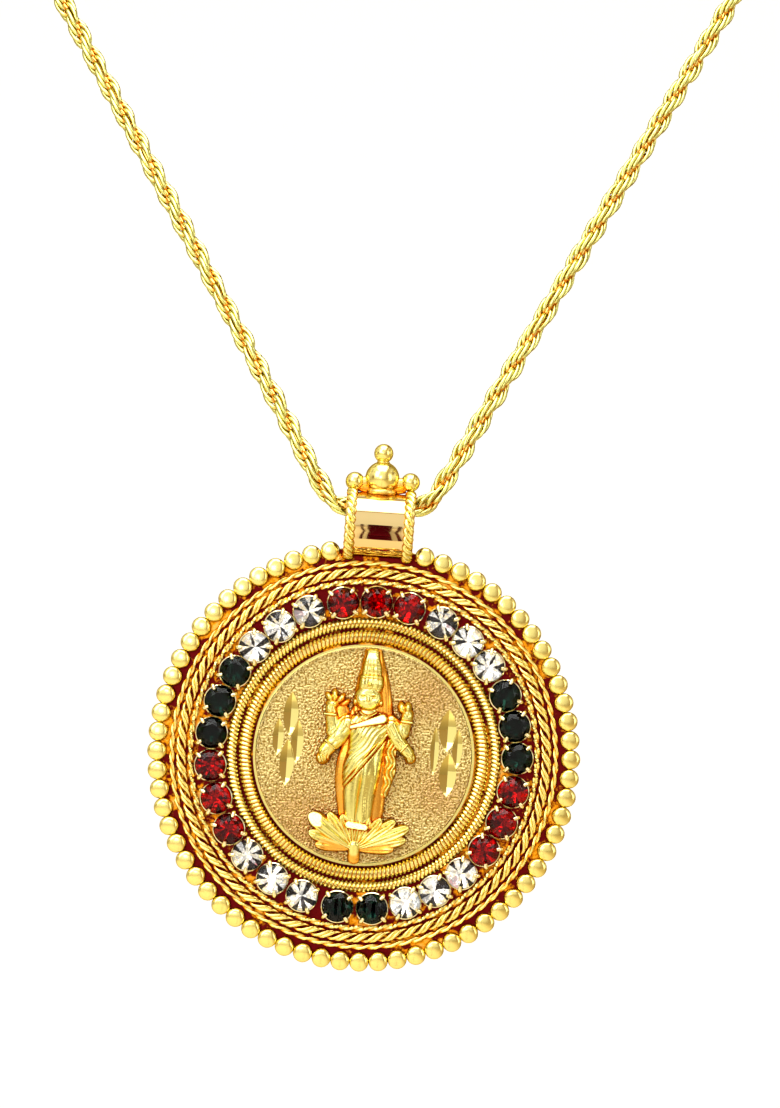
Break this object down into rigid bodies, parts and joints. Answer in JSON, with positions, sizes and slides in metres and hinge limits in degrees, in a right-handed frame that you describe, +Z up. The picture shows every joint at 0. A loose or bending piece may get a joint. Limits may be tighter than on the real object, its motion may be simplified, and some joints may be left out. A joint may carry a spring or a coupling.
{
  "type": "temple necklace",
  "caption": "Rope chain necklace with a barrel bail that carries a round medallion: granule border, rope wires, claw-set stones and a relief figure on a satin disc.",
  "frame": {"origin": "middle of the neck hollow, where the chain sits round the wearer's neck", "axes": "+Z up, the medallion's face towards -Y, +X to the viewer's right"},
  "size_m": [0.143, 0.1627, 0.1718],
  "materials": {
    "gold_polished": "polished gold plate",
    "gold_satin": "sandblasted gold plate",
    "gold_chain": "polished gold plate",
    "glass_red": "faceted red glass",
    "glass_green": "faceted dark green glass",
    "glass_clear": "faceted clear glass"
  },
  "bodies": {
    "chain": {"rope_chain": "gold_chain", "clasp": "gold_chain"},
    "pendant": {"frame": "gold_polished", "bail": "gold_polished", "medal_disc": "gold_satin", "figure": "gold_polished", "stone_red_1": "glass_red", "stone_red_2": "glass_red", "stone_red_3": "glass_red", "stone_white_4": "glass_clear", "stone_white_5": "glass_clear", "stone_white_6": "glass_clear", "stone_green_7": "glass_green", "stone_green_8": "glass_green", "stone_green_9": "glass_green", "stone_red_10": "glass_red", "stone_red_11": "glass_red", "stone_red_12": "glass_red", "stone_white_13": "glass_clear", "stone_white_14": "glass_clear", "stone_white_15": "glass_clear", "stone_green_16": "glass_green", "stone_green_17": "glass_green", "stone_white_18": "glass_clear", "stone_white_19": "glass_clear", "stone_white_20": "glass_clear", "stone_red_21": "glass_red", "stone_red_22": "glass_red", "stone_red_23": "glass_red", "stone_green_24": "glass_green", "stone_green_25": "glass_green", "stone_green_26": "glass_green", "stone_white_27": "glass_clear", "stone_white_28": "glass_clear", "stone_white_29": "glass_clear"}
  },
  "joints": [
    {"name": "pendant_swing", "type": "hinge", "parent": "chain", "child": "pendant", "pos_m": [0, -0.084, -0.104], "axis": [1, 0, 0], "range_deg": [-75, 75]}
  ]
}
